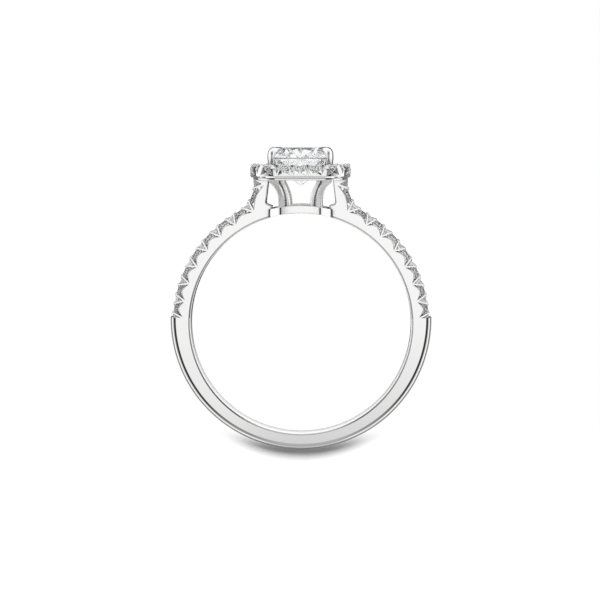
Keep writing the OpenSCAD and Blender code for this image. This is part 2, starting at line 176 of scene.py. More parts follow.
@dataclass
class Form:
    """A mesh in the making, from closed shells in the upright ring's millimetres."""

    points: list[Vector] = field(default_factory=list)
    faces: list[list[int]] = field(default_factory=list)
    marks: list[int] = field(default_factory=list)

    def shell(self, rings: Rings, looped: bool = False, mark: Mark = Mark.POLISHED) -> None:
        """Adds a shell through rings of equal length, capped at both ends unless it is looped.

        Args:
            rings: Closed rings of points, in order.
            looped: Whether the last ring joins the first.
            mark: The finish of its faces.
        """
        start, count = len(self.points), len(rings[0])
        for ring in rings:
            self.points.extend(Vector(p) for p in ring)
        for i in range(len(rings) if looped else len(rings) - 1):
            low, high = start + i * count, start + (i + 1) % len(rings) * count
            sides = [(j, (j + 1) % count) for j in range(count)]
            self.faces.extend([low + j, low + k, high + k, high + j] for j, k in sides)
        if not looped:
            last = start + (len(rings) - 1) * count
            self.faces.append([start + j for j in reversed(range(count))])
            self.faces.append([last + j for j in range(count)])
        self.marks.extend([mark] * (len(self.faces) - len(self.marks)))

    def plate(self, outline: Sequence[tuple[Flat, Edge]], half: float) -> None:
        """Adds a flat plate across W with softened edges, but for the edge that closes its outline.

        Args:
            outline: Points in U and V, anticlockwise, and how each one's edge is softened. The closing edge
                butts against another piece.
            half: Half the plate's thickness.
        """
        sharpest = 0.35
        corners = [Vector(point) for point, _ in outline]
        inward: list[Vector] = []
        for i, here in enumerate(corners):
            before = (here - corners[i - 1]).normalized()
            after = (corners[(i + 1) % len(corners)] - here).normalized()
            left, right = Vector((-before.y, before.x)), Vector((-after.y, after.x))
            if i == 0:
                inward.append(before / max(-before.dot(right), sharpest))
            elif i == len(corners) - 1:
                inward.append(after / max(after.dot(left), sharpest))
            else:
                inward.append((left + right) / max(1 + left.dot(right), sharpest))
        rings: list[list[Vector]] = []
        levels = range(len(outline[0][1].line))
        for side, order in ((-1, levels), (1, reversed(levels))):
            for i in order:
                ring = []
                for corner, mitre, (_, edge) in zip(corners, inward, outline):
                    across, drop = edge.line[i]
                    flat = corner + mitre * edge.size * across
                    ring.append(Vector((*flat, side * (half - edge.size * drop))))
                rings.append(ring)
        self.shell(rings)

    def prism(self, outline: Sequence[Flat], place: Matrix, ends: Flat, mark: Mark) -> None:
        """Adds a prism whose outline lies along the place's X and Z, between two ends along its Y."""
        self.shell([[place @ Vector((x, y, z)) for x, z in outline] for y in ends], mark=mark)

    def turned(self, profile: Sequence[Flat], place: Matrix, around: int, mark: Mark) -> None:
        """Adds a body turned about the place's Z in so many segments, from its radii and heights."""
        turns = [360 * i / around for i in range(around)]
        self.shell([[place @ Vector((*polar(r, turn), z)) for turn in turns] for r, z in profile], mark=mark)

    def bead(self, centre: Three, radius: float, place: Matrix, rows: int = 8) -> None:
        """Adds a round bead, a little flattened along the place's Z as burnished grains are.

        Args:
            centre: Where the bead sits, from the place.
            radius: Its radius.
            place: The place.
            rows: Segments from its foot to its tip.
        """
        last_latitude, flatness = 84, 0.94
        arc = [polar(radius, latitude) for latitude in steps(-last_latitude, last_latitude, rows)]
        profile = [(flat, up * flatness) for flat, up in arc]
        self.turned(profile, place @ Matrix.Translation(centre), 2 * rows, Mark.CUT)


@dataclass
class Pose:
    """Where the upright ring lies in the frame, read from the finger hole's mount."""

    mount: dict

    def matrix(self) -> Matrix:
        """Gives the turn, shift and scale from upright millimetres to the frame's metres."""
        tilt = math.atan2(-self.mount["axis"][1], self.mount["axis"][2])
        return Matrix.Translation(self.mount["pos_m"]) @ Matrix.Rotation(tilt, 4, "X") @ Matrix.Scale(MM, 4)

    def up(self) -> Vector:
        """Gives the direction towards the head."""
        return (self.matrix().to_3x3() @ Vector((0, 1, 0))).normalized()


@dataclass
class Graph:
    """A node tree, and the means to add nodes to it."""

    tree: Nodes

    def feed(self, socket: Socket, value: object) -> None:
        """Feeds an input.

        Args:
            socket: The input.
            value: Another node's output, or a plain value.
        """
        if isinstance(value, Socket):
            self.tree.links.new(value, socket)
        else:
            socket.default_value = value

    def add(self, kind: str, inputs: Mapping[str | int, object] | None = None, **settings: object) -> Node:
        """Adds a node.

        Args:
            kind: Its type, without the prefix that all shader nodes share.
            inputs: Outputs or plain values for its inputs, by name or number.
            settings: Its own properties.

        Returns:
            The new node.
        """
        node = self.tree.nodes.new("ShaderNode" + kind)
        for name, value in settings.items():
            setattr(node, name, value)
        for name, value in (inputs or {}).items():
            self.feed(node.inputs[name], value)
        return node

    @classmethod
    def paint(cls, name: str) -> tuple[Material, "Graph", Node]:
        """Starts a material.

        Args:
            name: Its name.

        Returns:
            The material, its graph and its surface shader.
        """
        made = bpy.data.materials.new(name)
        made.use_nodes = True
        return made, cls(made.node_tree), made.node_tree.nodes["Principled BSDF"]

    def math(self, operation: str, *values: object, clamped: bool = False) -> Socket:
        """Gives the result of a math node."""
        return self.add("Math", dict(enumerate(values)), operation=operation, use_clamp=clamped).outputs[0]

    def spread(self, value: Socket, low: float, high: float, to: Flat = (0.0, 1.0),
               kind: str = "LINEAR") -> Socket:
        """Maps the values from low to high onto another range and keeps the others at its ends."""
        inputs = {"Value": value, "From Min": low, "From Max": high, "To Min": to[0], "To Max": to[1]}
        return self.add("MapRange", inputs, interpolation_type=kind).outputs["Result"]

    def noise(self, place: Socket, scale: object, detail: float, roughness: float = 0.5) -> Socket:
        """Gives cloudy noise at a place."""
        inputs = {"Vector": place, "Scale": scale, "Detail": detail, "Roughness": roughness}
        return self.add("TexNoise", inputs).outputs["Fac"]

    def mix(self, share: Socket, first: object, second: object) -> Socket:
        """Gives the mix of two colours with a share of the second."""
        return self.add("Mix", {"Factor": share, "A": first, "B": second}, data_type="RGBA").outputs["Result"]

    def rays(self) -> tuple[Sockets, Socket]:
        """Gives the light path's outputs, and whether a ray has been through a stone."""
        ray = self.add("LightPath").outputs
        return ray, self.math("GREATER_THAN", ray["Transmission Depth"], 0.5)

    def ramp(self, share: Socket, stops: Sequence[Flat]) -> Socket:
        """Adds a ramp of greys.

        Args:
            share: The place on the ramp, from 0 to 1.
            stops: Places on the ramp and their greys.

        Returns:
            The grey.
        """
        node = self.add("ValToRGB", {"Fac": share})
        elements = node.color_ramp.elements
        while len(elements) < len(stops):
            elements.new(0.5)
        for element, (position, level) in zip(elements, stops):
            element.position = position
            element.color = grey(level)
        return node.outputs["Color"]


class ShaderGroups:
    """Node groups that more than one finish uses."""

    def __init__(self) -> None:
        """Makes the groups."""
        self.fine_polish = self._fine_polish()
        self.crevice_shade_paint = self._crevice_shade_paint()
        self.facet_tint = self._facet_tint()

    def _start(self, name: str, inputs: dict[str, object], **outputs: str) -> tuple[Graph, Sockets, Sockets]:
        """Starts a group and its sockets.

        Args:
            name: The group's name.
            inputs: Default value of each input: a number, a colour of four, or None for a vector.
            outputs: Kind of each output.

        Returns:
            The group's graph, the inputs that it is given and the outputs that it feeds.
        """
        kinds = {float: "Float", tuple: "Color", type(None): "Vector"}
        group = bpy.data.node_groups.new(name, "ShaderNodeTree")
        for label, value in inputs.items():
            kind = "NodeSocket" + kinds[type(value)]
            socket = group.interface.new_socket(label, in_out="INPUT", socket_type=kind)
            if value is not None:
                socket.default_value = value
        for label, kind in outputs.items():
            group.interface.new_socket(label, in_out="OUTPUT", socket_type="NodeSocket" + kind)
        given, result = group.nodes.new("NodeGroupInput"), group.nodes.new("NodeGroupOutput")
        return Graph(group), given.outputs, result.inputs

    def _fine_polish(self) -> Nodes:
        """Makes the group for buffing marks: a roughness and a height that drift over the surface.

        Returns:
            The group.
        """
        inputs = {"Vector": None, "Scale": 900.0, "Roughness": 0.06, "Spread": 0.04}
        graph, given, result = self._start("fine_polish", inputs, Roughness="Float", Height="Float")
        place, scale = given["Vector"], given["Scale"]
        stretch, broad_share = (1.0, 1.0, 9.0), 0.22
        stretched = graph.add("Mapping", {"Vector": place, "Scale": stretch}).outputs["Vector"]
        hair = graph.noise(stretched, scale, detail=3.0, roughness=0.65)
        broad = graph.noise(place, graph.math("MULTIPLY", scale, broad_share), detail=2.0)
        height = graph.math("MULTIPLY", hair, broad)
        rough = graph.math("MULTIPLY_ADD", height, given["Spread"], given["Roughness"])
        graph.feed(result["Roughness"], rough)
        graph.feed(result["Height"], height)
        return graph.tree

    def _crevice_shade_paint(self) -> Nodes:
        """Makes the group that paints shade into a colour where faces stand close together, patchy at random,
        and mottles it.

        Returns:
            The group.
        """
        graph, given, result = self._start("crevice_shade_paint", {
            "Vector": None, "Color": grey(1.0), "Shade": grey(0.2), "Distance": 0.0004, "Amount": 0.8,
            "Mottle": 0.0,
        }, Color="Color")
        place = given["Vector"]
        # Painted shade: the colour darkens towards the shade colour where ambient occlusion finds faces close
        # by.
        open_sky = graph.add("AmbientOcclusion", {"Distance": given["Distance"]}, samples=6).outputs["AO"]
        closed = graph.spread(open_sky, low=0.85, high=0.25)
        patchy = graph.spread(graph.noise(place, scale=1400.0, detail=2.0), low=0.0, high=1.0, to=(0.75, 1.1))
        speckle = graph.spread(graph.noise(place, scale=7000.0, detail=2.0), low=0.4, high=0.62)
        mottled = graph.math("MULTIPLY", speckle, given["Mottle"])
        share = graph.math("MULTIPLY", closed, patchy)
        share = graph.math("MULTIPLY_ADD", share, given["Amount"], mottled, clamped=True)
        graph.feed(result["Color"], graph.mix(share, given["Color"], given["Shade"]))
        return graph.tree

    def _facet_tint(self) -> Nodes:
        """Makes the group that tints each facet of a cut stone a little differently.

        Returns:
            The group.
        """
        inputs = {"Normal": None, "Light": grey(1.0), "Dark": (0.8, 0.82, 0.86, 1.0)}
        graph, given, result = self._start("facet_tint", inputs, Color="Color")
        lot = graph.spread(graph.noise(given["Normal"], scale=2.3, detail=1.0), low=0.42, high=0.68)
        graph.feed(result["Color"], graph.mix(lot, given["Light"], given["Dark"]))
        return graph.tree


@dataclass(frozen=True)
class MetalFinish:
    """White gold, from a mirror polish to the rougher, less metallic recesses, every finish with shade
    painted in where faces stand close together.
    """

    name: str
    colour: Three = (0.955, 0.955, 0.952)
    # Painted shade: its colour, its reach in millimetres and its strength where faces stand close together.
    painted_shade: Three = (0.25, 0.25, 0.26)
    shade_reach: float = 0.35
    shade_amount: float = 0.7
    roughness: float = 0.05
    spread: float = 0.05
    mark_scale: float = 900.0
    mark_depth: float = 0.02
    mark_height: float = 0.05
    mottle: float = 0.0
    metallic: float = 1.0

    def material(self, groups: ShaderGroups) -> Material:
        """Makes the material.

        Args:
            groups: The shared shader groups.

        Returns:
            The new material.
        """
        made, graph, surface = Graph.paint(self.name)
        surface.inputs["Metallic"].default_value = self.metallic
        place = graph.add("TexCoord").outputs["Object"]
        tone = graph.add("Group", {
            "Vector": place, "Color": (*self.colour, 1.0), "Shade": (*self.painted_shade, 1.0),
            "Distance": self.shade_reach * MM, "Amount": self.shade_amount, "Mottle": self.mottle,
        }, node_tree=groups.crevice_shade_paint)
        polish = graph.add("Group", {
            "Vector": place, "Scale": self.mark_scale, "Roughness": self.roughness, "Spread": self.spread,
        }, node_tree=groups.fine_polish)
        bump = graph.add("Bump", {
            "Strength": self.mark_depth, "Distance": self.mark_height * MM,
            "Height": polish.outputs["Height"],
        })
        graph.feed(surface.inputs["Base Color"], tone.outputs["Color"])
        graph.feed(surface.inputs["Roughness"], polish.outputs["Roughness"])
        graph.feed(surface.inputs["Normal"], bump.outputs["Normal"])
        return made


@dataclass(frozen=True)
class DiamondFinish:
    """Colourless diamond, whose facets each take a slightly different grey."""

    name: str
    light: Three
    dark: Three
    index: float = 2.417
    mark_scale: float = 2600.0
    spread: float = 0.012
    girdle_axis: Three | None = None
    girdle_slope: float = 0.1
    girdle: Three = (0.2, 0.2, 0.22)

    def material(self, groups: ShaderGroups) -> Material:
        """Makes the material.

        Args:
            groups: The shared shader groups.

        Returns:
            The new material.
        """
        made, graph, surface = Graph.paint(self.name)
        surface.inputs["Metallic"].default_value = 0.0
        surface.inputs["Transmission Weight"].default_value = 1.0
        surface.inputs["IOR"].default_value = self.index
        facing = graph.add("NewGeometry").outputs["True Normal"]
        colour = graph.add("Group", {
            "Normal": facing, "Light": (*self.light, 1.0), "Dark": (*self.dark, 1.0),
        }, node_tree=groups.facet_tint).outputs["Color"]
        if self.girdle_axis is not None:
            level = graph.add("VectorMath", {0: facing, 1: self.girdle_axis}, operation="DOT_PRODUCT")
            edge = graph.math("COMPARE", level.outputs["Value"], 0.0, self.girdle_slope)
            colour = graph.mix(edge, colour, (*self.girdle, 1.0))
        place = graph.add("TexCoord").outputs["Object"]
        polish = graph.add("Group", {
            "Vector": place, "Scale": self.mark_scale, "Roughness": 0.0, "Spread": self.spread,
        }, node_tree=groups.fine_polish)
        graph.feed(surface.inputs["Base Color"], colour)
        graph.feed(surface.inputs["Roughness"], polish.outputs["Roughness"])
        return made


class Finishes:
    """Every finish of the ring."""

    def __init__(self, up: Vector) -> None:
        """Makes the materials.

        Args:
            up: The direction towards the head, along which the centre stone stands.
        """
        metals = {
            Mark.POLISHED: MetalFinish("polished_white_gold"),
            Mark.CUT: MetalFinish(
                "bright_cut_white_gold", roughness=0.13, mark_depth=0.05, mark_scale=1500.0,
                painted_shade=(0.4, 0.4, 0.41), shade_amount=0.6,
            ),
            Mark.RECESS: MetalFinish(
                "recessed_white_gold", colour=(0.95, 0.95, 0.95), roughness=0.42, mark_depth=0.1,
                painted_shade=(0.45, 0.45, 0.46), shade_reach=0.45, shade_amount=0.6, metallic=0.35,
            ),
            # Painted shade: the V grooves are darker and half metallic, speckled at random towards their
            # shade colour.
            Mark.GROOVE: MetalFinish(
                "groove_shade_white_gold", colour=(0.86, 0.86, 0.87), roughness=0.2, mark_depth=0.6,
                mark_scale=2600.0, painted_shade=(0.28, 0.28, 0.29), shade_reach=0.3, shade_amount=0.5,
                mottle=0.75, metallic=0.5,
            ),
            # Painted shade: near black, for the pits at the halo's post tops and the base ring's bends.
            Mark.PIT: MetalFinish(
                "painted_shade_white_gold", colour=(0.16, 0.16, 0.17), roughness=0.3, mark_depth=0.2,
                mark_scale=2600.0,
            ),
            # Painted shade: the claws and the base ring take strong, far-reaching shade where faces stand
            # close together.
            Mark.CLAW: MetalFinish(
                "claw_white_gold", roughness=0.07, spread=0.06, painted_shade=(0.12, 0.12, 0.13), shade_reach=0.9,
                shade_amount=2.0,
            ),
            Mark.SATIN: MetalFinish(
                "satin_white_gold", roughness=0.24, mark_depth=0.06, mark_scale=1500.0,
                painted_shade=(0.3, 0.3, 0.31), shade_reach=0.6, shade_amount=0.9,
            ),
        }
        groups = ShaderGroups()
        self.metals = [metals[mark].material(groups) for mark in Mark]
        self.centre = DiamondFinish(
            Slot.CENTRE.value, (1.0, 1.0, 1.0), (0.88, 0.89, 0.93), girdle_axis=tuple(up),
        ).material(groups)
        self.small = DiamondFinish(Slot.SMALL.value, (0.95, 0.95, 0.95), (0.76, 0.77, 0.79)).material(groups)


@dataclass
class Workshop:
    """Turns forms into finished pieces of the ring."""

    pose: Pose
    finishes: Finishes

    def raw(self, name: str, form: Form) -> Object:
        """Makes an object from a form.

        Args:
            name: The object's name.
            form: Its shape.

        Returns:
            The object, still in upright millimetres.
        """
        mesh = bpy.data.meshes.new(name)
        mesh.from_pydata(form.points, [], form.faces)
        mesh.polygons.foreach_set("material_index", form.marks)
        work = bmesh.new()
        work.from_mesh(mesh)
        bmesh.ops.recalc_face_normals(work, faces=work.faces)
        work.to_mesh(mesh)
        work.free()
        return placed(name, mesh)

    def carve(self, body: Object, cutters: Mapping[str, Form]) -> None:
        """Cuts forms out of an object.

        Args:
            body: The object.
            cutters: The forms, by name.
        """
        for name, form in cutters.items():
            cut = body.modifiers.new(name, "BOOLEAN")
            cut.operation = "DIFFERENCE"
            cut.solver = "MANIFOLD"
            cut.object = self.raw(name, form)
            tool = cut.object
            self.settle(body)
            bpy.data.objects.remove(tool)

    def settle(self, body: Object) -> None:
        """Applies every modifier of an object.

        Args:
            body: The object.
        """
        graph = bpy.context.evaluated_depsgraph_get()
        shaped = body.evaluated_get(graph)
        mesh = bpy.data.meshes.new_from_object(shaped, preserve_all_data_layers=True, depsgraph=graph)
        body.modifiers.clear()
        body.data = mesh

    def join(self, body: Object, extra: Object) -> None:
        """Adds an object's mesh to another one's and throws the object away.

        Args:
            body: The object that grows.
            extra: The object that is added.
        """
        work = bmesh.new()
        work.from_mesh(body.data)
        work.from_mesh(extra.data)
        work.to_mesh(body.data)
        work.free()
        bpy.data.objects.remove(extra)

    def finish(self, piece: Object, sharp: float = 34.0) -> None:
        """Shades, dresses and places a metal piece, and lets it stand for the frame's metal.

        Args:
            piece: The object, in upright millimetres.
            sharp: Angle in degrees above which an edge stays crisp.
        """
        mesh = piece.data
        marks = [face.material_index for face in mesh.polygons]
        used = sorted(set(marks))
        mesh.materials.clear()
        for mark in used:
            mesh.materials.append(self.finishes.metals[mark])
        mesh.polygons.foreach_set("material_index", [used.index(mark) for mark in marks])
        mesh.polygons.foreach_set("use_smooth", [True] * len(mesh.polygons))
        mesh.set_sharp_from_angle(angle=math.radians(sharp))
        weighted = piece.modifiers.new("weighted", "WEIGHTED_NORMAL")
        weighted.keep_sharp = True
        weighted.weight = 100
        self.settle(piece)
        piece.data.transform(self.pose.matrix())
        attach(piece, ROOT)
        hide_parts(METAL_NODE)
        log.info("%s: %d faces", piece.name, len(piece.data.polygons))


@dataclass
class Band:
    """The polished lower band, as far up as the stones begin."""

    bore_r: float = 8.45
    outer_r: float = 10.0
    outer_shift: float = 0.3
    half_w: float = 0.9
    bore_edge: float = 0.16
    # The rim's arcs: the slope in degrees that each one reaches, and its radius.
    rim_arcs: tuple[Flat, ...] = ((20, 0.62), (45, 0.34), (90, 0.42))
    arc_steps: int = 4
    start_angle: float = 2.8
    around: int = 190

    def rim(self) -> list[Flat]:
        """Works out the outer edge's line, from the side face on.

        Returns:
            How far out each point lies, and how far in from the face.
        """
        line = [(0.0, 0.0)]
        before = 0.0
        for until, radius in self.rim_arcs:
            arc = [polar(radius, turn) for turn in steps(before, until, self.arc_steps)]
            for (x0, y0), (x1, y1) in zip(arc, arc[1:]):
                line.append((line[-1][0] + y1 - y0, line[-1][1] + x0 - x1))
            before = until
        return line

    def section(self, angle: float) -> list[Vector]:
        """Works out the band's section.

        Args:
            angle: Where it stands round the finger, in degrees.

        Returns:
            Its points.
        """
        turn = math.radians(angle)
        outer = self.outer_shift * math.sin(turn)
        outer += math.sqrt(self.outer_r ** 2 - (self.outer_shift * math.cos(turn)) ** 2)
        edge, rim = Edge.chamfered(self.bore_edge), self.rim()
        side = [(self.bore_r + edge.size * x, self.half_w - edge.size * y) for x, y in reversed(edge.line)]
        side.extend((outer - rim[-1][0] + x, self.half_w - y) for x, y in rim)
        return [Vector((*polar(r, angle), w)) for r, w in [(r, -w) for r, w in reversed(side)] + side]

    def build(self, shop: Workshop) -> None:
        """Builds and dresses the band.

        Args:
            shop: The workshop.
        """
        form = Form()
        turns = steps(180 - self.start_angle, 360 + self.start_angle, self.around)
        form.shell([self.section(turn) for turn in turns])
        shop.finish(shop.raw("polished_band", form))


@dataclass
class StoneSeat:
    """Seat drilled for a round brilliant: a straight hole above the girdle and a cone below it."""

    girdle_share: float = 0.025
    pavilion_share: float = 0.4
    gap: float = 0.015
    foot_share: float = 0.2
    around: int = 32

    def cutter(self, form: Form, radius: float, place: Matrix, above: float) -> None:
        """Adds the seat's cutter to a form.

        Args:
            form: The form.
            radius: The stone's radius.
            place: The girdle's place, with Z along the stone's axis.
            above: How far the hole runs up from the girdle.
        """
        low = -self.girdle_share * 2 * radius - self.gap
        depth = self.pavilion_share * 2 * radius * (1 - self.foot_share)
        wide = radius + self.gap
        profile = [(radius * self.foot_share, low - self.gap - depth), (wide, low), (wide, above)]
        form.turned(profile, place, self.around, Mark.RECESS)


@dataclass
class Shoulder:
    """One stone-set shoulder: a plate whose outer edge is a row of fishtail posts."""

    name: str
    side: int
    bore_r: float = 8.45
    half_w: float = 0.9
    bore_edge: float = 0.16
    tip_edge: float = 0.02
    cup_edge: float = 0.07
    wall_edge: float = 0.09
    crest_r: float = 9.9
    sweep_start: float = 60.0
    sweep_r: float = 2.6
    first_post: float = 0.484
    pitch: float = 1.527
    ease: float = 0.12
    top_extra: float = 0.28
    stones: int = 8
    stone_r: float = 0.66
    girdle: float = 0.304
    cup: float = 0.79
    peak: float = 0.42
    scallop: float = 0.4
    scallop_depth: float = 0.55
    dip: float = 0.16
    tip: float = 0.03
    last_tip: float = 0.1
    spread: float = 0.39
    arm: float = 0.1
    cup_half: float = 0.11
    v_depth: float = 0.7
    v_in: float = 0.16
    bead_r: float = 0.13
    bead_w: float = 0.66
    core_half: float = 0.5
    core_top: float = 0.6
    core_low: float = 0.86
    core_short: float = 0.2
    core_steps: int = 160
    wall: tuple[Flat, ...] = ((3.6, 11.085), (2.43, 11.085), (2.64, 9.3), (2.59, 9.17), (2.17, 9.02))
    wall_angle: float = 74.0
    bore_steps: int = 48

    def crest(self, s: float, depth: float) -> tuple[Flat, float]:
        """Works out a point under the row of bead tips.

        Args:
            s: A place along the row.
            depth: How far below the tips.

        Returns:
            The point, and the direction in degrees that the row faces there.
        """
        swept = self.crest_r * math.radians(self.sweep_start)
        if s <= swept:
            facing = math.degrees(s / self.crest_r)
            return polar(self.crest_r - depth, facing), facing
        facing = self.sweep_start - math.degrees((s - swept) / self.sweep_r)
        x, y = polar(self.crest_r + self.sweep_r, self.sweep_start)
        back = polar(self.sweep_r + depth, facing)
        return (x - back[0], y - back[1]), facing

    def post(self, k: int) -> float:
        """Gives where post k stands along the row."""
        extra = self.top_extra if k == self.stones else 0.0
        return self.first_post + self.pitch * k - self.ease * math.sin(2 * math.pi * k / self.stones) + extra

    def stone(self, k: int) -> float:
        """Gives where stone k sits along the row."""
        return (self.post(k) + self.post(k + 1)) / 2

    def place(self, s: float, depth: float) -> Matrix:
        """Works out a place under the row of bead tips.

        Args:
            s: A place along the row.
            depth: How far below the tips.

        Returns:
            The place, with X along the row, Y along the finger and Z outwards.
        """
        point, facing = self.crest(s, depth)
        x, y = polar(1, facing)
        return Matrix.Translation((*point, 0)) @ Matrix(((-y, 0, x), (x, 0, y), (0, 1, 0))).to_4x4()

    def outline(self) -> list[tuple[Flat, Edge]]:
        """Works out the plate's outline.

        Returns:
            Its points, and how each one's edge is softened.
        """
        fine, scalloped = Edge.rounded(self.tip_edge), Edge.rounded(self.cup_edge)
        bold, bored = Edge.rounded(self.wall_edge), Edge.chamfered(self.bore_edge)
        half = self.arm / 2
        flank = [
            (self.spread - half, self.tip, fine), (self.spread + half, self.tip, fine),
            (self.cup_half, self.cup, scalloped), (self.scallop, self.scallop_depth, scalloped),
        ]
        row: list[tuple[float, float, Edge]] = []
        for k in range(self.stones):
            row.append((self.post(k), self.dip, fine))
            row += [(self.post(k) + away, depth, edge) for away, depth, edge in flank]
            row.append((self.stone(k), self.peak, scalloped))
            row += [(self.post(k + 1) - away, depth, edge) for away, depth, edge in reversed(flank)]
        row.append((self.post(self.stones) - self.spread + self.arm, self.last_tip, fine))
        outline = [(self.crest(s, depth)[0], edge) for s, depth, edge in row]
        outline += [(point, bold) for point in self.wall]
        bore = steps(self.wall_angle, self.crest(self.first_post, 0)[1], self.bore_steps)
        return outline + [(polar(self.bore_r, angle), bored) for angle in bore]

    def seats(self) -> dict[str, Form]:
        """Makes the cutter of the stones' seats.

        Returns:
            The cutter by name.
        """
        seats = Form()
        for k in range(self.stones):
            StoneSeat().cutter(seats, self.stone_r, self.place(self.stone(k), self.girdle), 2 * self.girdle)
        return {self.name + "_seats": seats}

    def grooves(self) -> dict[str, Form]:
        """Makes the cutter of the V between each post's arms.

        Returns:
            The cutter by name.
        """
        grooves = Form()
        reach = self.spread - self.arm / 2
        groove = [(0, -self.v_depth), (reach, 0), (reach, self.v_depth), (-reach, self.v_depth), (-reach, 0)]
        low, high = self.half_w - self.v_in, self.half_w + self.v_in
        for k in range(self.stones + 1):
            for ends in ((-high, -low), (low, high)):
                # The V grooves take the darker groove finish of painted shade.
                grooves.prism(groove, self.place(self.post(k), 0), ends, Mark.GROOVE)
        return {self.name + "_grooves": grooves}

    def core(self) -> Form:
        """Makes the metal that carries the stones between the two faces.

        Returns:
            Its form.
        """
        form = Form()
        half, top, low = self.core_half, self.core_top, self.core_low
        section = [Vector((0, w, -d)) for w, d in ((-half, low), (-half, top), (half, top), (half, low))]
        row = steps(self.first_post, self.post(self.stones) - self.core_short, self.core_steps)
        form.shell([[self.place(s, 0) @ point for point in section] for s in row], mark=Mark.RECESS)
        return form

    def beads(self) -> Form:
        """Makes the beads on the posts' arms, in two rows.

        Returns:
            Their form.
        """
        form = Form()
        for k in range(self.stones):
            for s in (self.post(k) + self.spread, self.post(k + 1) - self.spread):
                for face in (-1, 1):
                    form.bead((0, face * self.bead_w, 0), self.bead_r, self.place(s, self.bead_r))
        return form

    def build(self, shop: Workshop) -> None:
        """Builds and dresses the shoulder.

        Args:
            shop: The workshop.
        """
        form = Form()
        form.plate(self.outline(), self.half_w)
        body = shop.raw(self.name, form)
        shop.carve(body, self.seats() | self.grooves())
        core = shop.raw(self.name + "_core", self.core())
        shop.carve(core, self.seats())
        shop.join(body, core)
        shop.join(body, shop.raw(self.name + "_beads", self.beads()))
        if self.side < 0:
            body.data.transform(Matrix.Scale(-1, 4, (1, 0, 0)))
            body.data.flip_normals()
        shop.finish(body)


